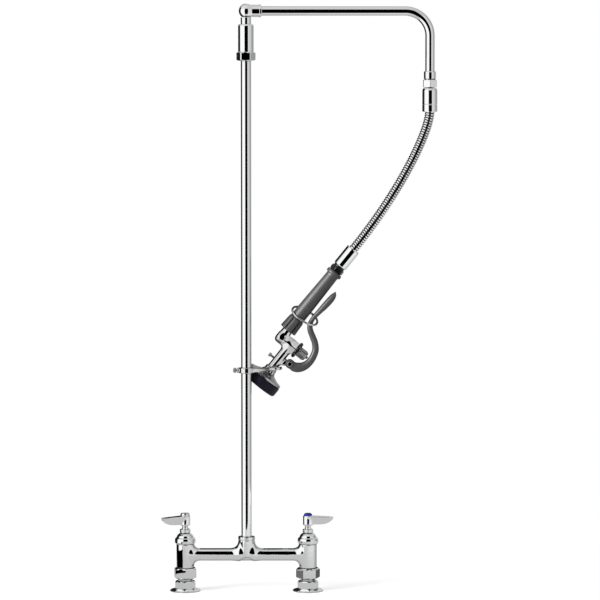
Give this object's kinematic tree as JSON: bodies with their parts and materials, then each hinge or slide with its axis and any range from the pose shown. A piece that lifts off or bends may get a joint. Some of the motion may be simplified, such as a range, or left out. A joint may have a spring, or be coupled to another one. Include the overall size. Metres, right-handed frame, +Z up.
{
  "type": "pre-rinse faucet",
  "caption": "Deck-mounted mixing faucet with a tall riser, swinging arm, flexible steel hose, squeeze-lever spray valve and finger hook.",
  "frame": {"origin": "on the deck plane, under the centre of the whole faucet's box; the riser stands at x = -0.0873, y = -0.0219", "axes": "+Z up the riser, +X from the riser towards the arm's outlet, -Y towards the user"},
  "size_m": [0.4558, 0.0946, 0.9693],
  "materials": {
    "chrome": "polished chrome plate",
    "steel": "stainless, interlocked hose strip and small parts",
    "brass": "machined",
    "grip": "satin dark grey",
    "black": "black",
    "rubber": "dark, slightly violet",
    "blue": "gloss",
    "red": "gloss"
  },
  "bodies": {
    "base": {"inlet_flange_left": "chrome", "inlet_flange_right": "chrome", "coupling_nut_left": "chrome", "coupling_nut_right": "chrome", "inlet_gasket_left": "rubber", "inlet_gasket_right": "rubber", "mixing_body": "chrome", "valve_seat_left": "brass", "valve_seat_right": "brass", "bonnet_left": "chrome", "bonnet_right": "chrome", "packing_nut_left": "chrome", "packing_nut_right": "chrome", "riser_pipe": "chrome", "swivel_nut": "chrome", "swivel_sleeve": "chrome", "finger_hook": "chrome", "hook_screw": "chrome"},
    "handle_left": {"spindle_left": "brass", "lever_handle_left": "chrome", "index_cap_left": "red"},
    "handle_right": {"spindle_right": "brass", "lever_handle_right": "chrome", "index_cap_right": "blue"},
    "plunger_left": {"plunger_left": "brass", "seat_washer_left": "rubber"},
    "plunger_right": {"plunger_right": "brass", "seat_washer_right": "rubber"},
    "arm": {"swivel_stem": "chrome", "ball_elbow": "chrome", "arm_tube": "chrome", "swivel_o_ring_upper": "rubber", "swivel_o_ring_lower": "rubber", "arm_outlet_collar": "chrome"},
    "hose_head": {"outlet_swivel_nut": "chrome", "hose_washer": "rubber", "hose_sleeve_top": "chrome", "hose_segment_1": "steel"},
    "hose_2": {"hose_segment_2": "steel"},
    "hose_3": {"hose_segment_3": "steel"},
    "hose_4": {"hose_segment_4": "steel"},
    "hose_5": {"hose_segment_5": "steel"},
    "hose_6": {"hose_segment_6": "steel"},
    "spray": {"hose_segment_7": "steel", "hose_sleeve_bottom": "chrome", "hose_end_nut": "black", "grip": "grip", "grip_tube": "steel", "spray_valve_body": "chrome", "valve_bonnet": "chrome", "valve_spring": "steel", "lever_screw": "chrome", "spray_shell": "chrome", "bumper": "rubber", "spray_face": "steel", "face_screw": "steel", "hanging_peg": "chrome"},
    "lever": {"squeeze_lever": "grip"},
    "valve_stem": {"valve_plunger": "steel"},
    "ring": {"hold_down_ring": "chrome"}
  },
  "joints": [
    {"name": "handle_left_turn", "type": "hinge", "parent": "base", "child": "handle_left", "pos_m": [-0.18889, -0.0219, 0.12], "axis": [0, 0, 1], "range_deg": [0, 90]},
    {"name": "plunger_left_lift", "type": "slide", "parent": "base", "child": "plunger_left", "axis": [0, 0, 1], "range_m": [0, 0.0032], "stiffness_N_per_m": 0.05, "springref_m": 1.685},
    {"name": "handle_right_turn", "type": "hinge", "parent": "base", "child": "handle_right", "pos_m": [0.01431, -0.0219, 0.12], "axis": [0, 0, -1], "range_deg": [0, 90]},
    {"name": "plunger_right_lift", "type": "slide", "parent": "base", "child": "plunger_right", "axis": [0, 0, 1], "range_m": [0, 0.0032], "stiffness_N_per_m": 0.05, "springref_m": 1.685},
    {"name": "arm_swivel", "type": "hinge", "parent": "base", "child": "arm", "pos_m": [-0.08729, -0.0219, 0.915], "axis": [0, 0, 1], "range_deg": [0, 90]},
    {"name": "hose_swivel", "type": "hinge", "parent": "arm", "child": "hose_head", "pos_m": [0.21521, 0.0151, 0.8387], "axis": [0, 0, -1], "range_deg": [0, 180]},
    {"name": "hose_sway", "type": "hinge", "parent": "hose_head", "child": "hose_2", "pos_m": [0.21165, 0.0151, 0.7721], "axis": [0.9618, 0, -0.2738], "range_deg": [0, 6]},
    {"name": "hose_sway_2", "type": "hinge", "parent": "hose_2", "child": "hose_3", "pos_m": [0.1958, 0.0151, 0.73088], "axis": [0.9091, 0, -0.4166], "range_deg": [0, 8.2]},
    {"name": "hose_sway_3", "type": "hinge", "parent": "hose_3", "child": "hose_4", "pos_m": [0.1757, 0.0151, 0.6913], "axis": [0.8751, 0, -0.484], "range_deg": [0, 8.2]},
    {"name": "hose_sway_4", "type": "hinge", "parent": "hose_4", "child": "hose_5", "pos_m": [0.15277, 0.0151, 0.65262], "axis": [0.8457, 0, -0.5336], "range_deg": [0, 8.2]},
    {"name": "hose_sway_5", "type": "hinge", "parent": "hose_5", "child": "hose_6", "pos_m": [0.12796, 0.0151, 0.61542], "axis": [0.8179, 0, -0.5754], "range_deg": [0, 8.2]},
    {"name": "hose_sway_6", "type": "hinge", "parent": "hose_6", "child": "spray", "pos_m": [0.10154, 0.0151, 0.5797], "axis": [0.7897, 0, -0.6134], "range_deg": [0, 8.2]},
    {"name": "lever_squeeze", "type": "hinge", "parent": "spray", "child": "lever", "pos_m": [-0.01587, 0.0151, 0.37434], "axis": [0, -1, 0], "range_deg": [0, 2.4], "stiffness_Nm_per_rad": 2},
    {"name": "valve_push", "type": "slide", "parent": "spray", "child": "valve_stem", "axis": [-0.7771, 0, 0.6293], "range_m": [0, 0.0012]},
    {"name": "ring_slide", "type": "slide", "parent": "spray", "child": "ring", "axis": [0.6293, 0, 0.7771], "range_m": [0, 0.02]}
  ],
  "couplings": [
    {"joint": "plunger_left_lift", "follows": "handle_left_turn", "m_per_rad": 0.0019},
    {"joint": "plunger_right_lift", "follows": "handle_right_turn", "m_per_rad": 0.0019},
    {"joint": "hose_sway_2", "follows": "hose_sway", "ratio": 1},
    {"joint": "hose_sway_3", "follows": "hose_sway", "ratio": 1},
    {"joint": "hose_sway_4", "follows": "hose_sway", "ratio": 1},
    {"joint": "hose_sway_5", "follows": "hose_sway", "ratio": 1},
    {"joint": "hose_sway_6", "follows": "hose_sway", "ratio": 1},
    {"joint": "valve_push", "follows": "lever_squeeze", "m_per_rad": 0.0254}
  ]
}
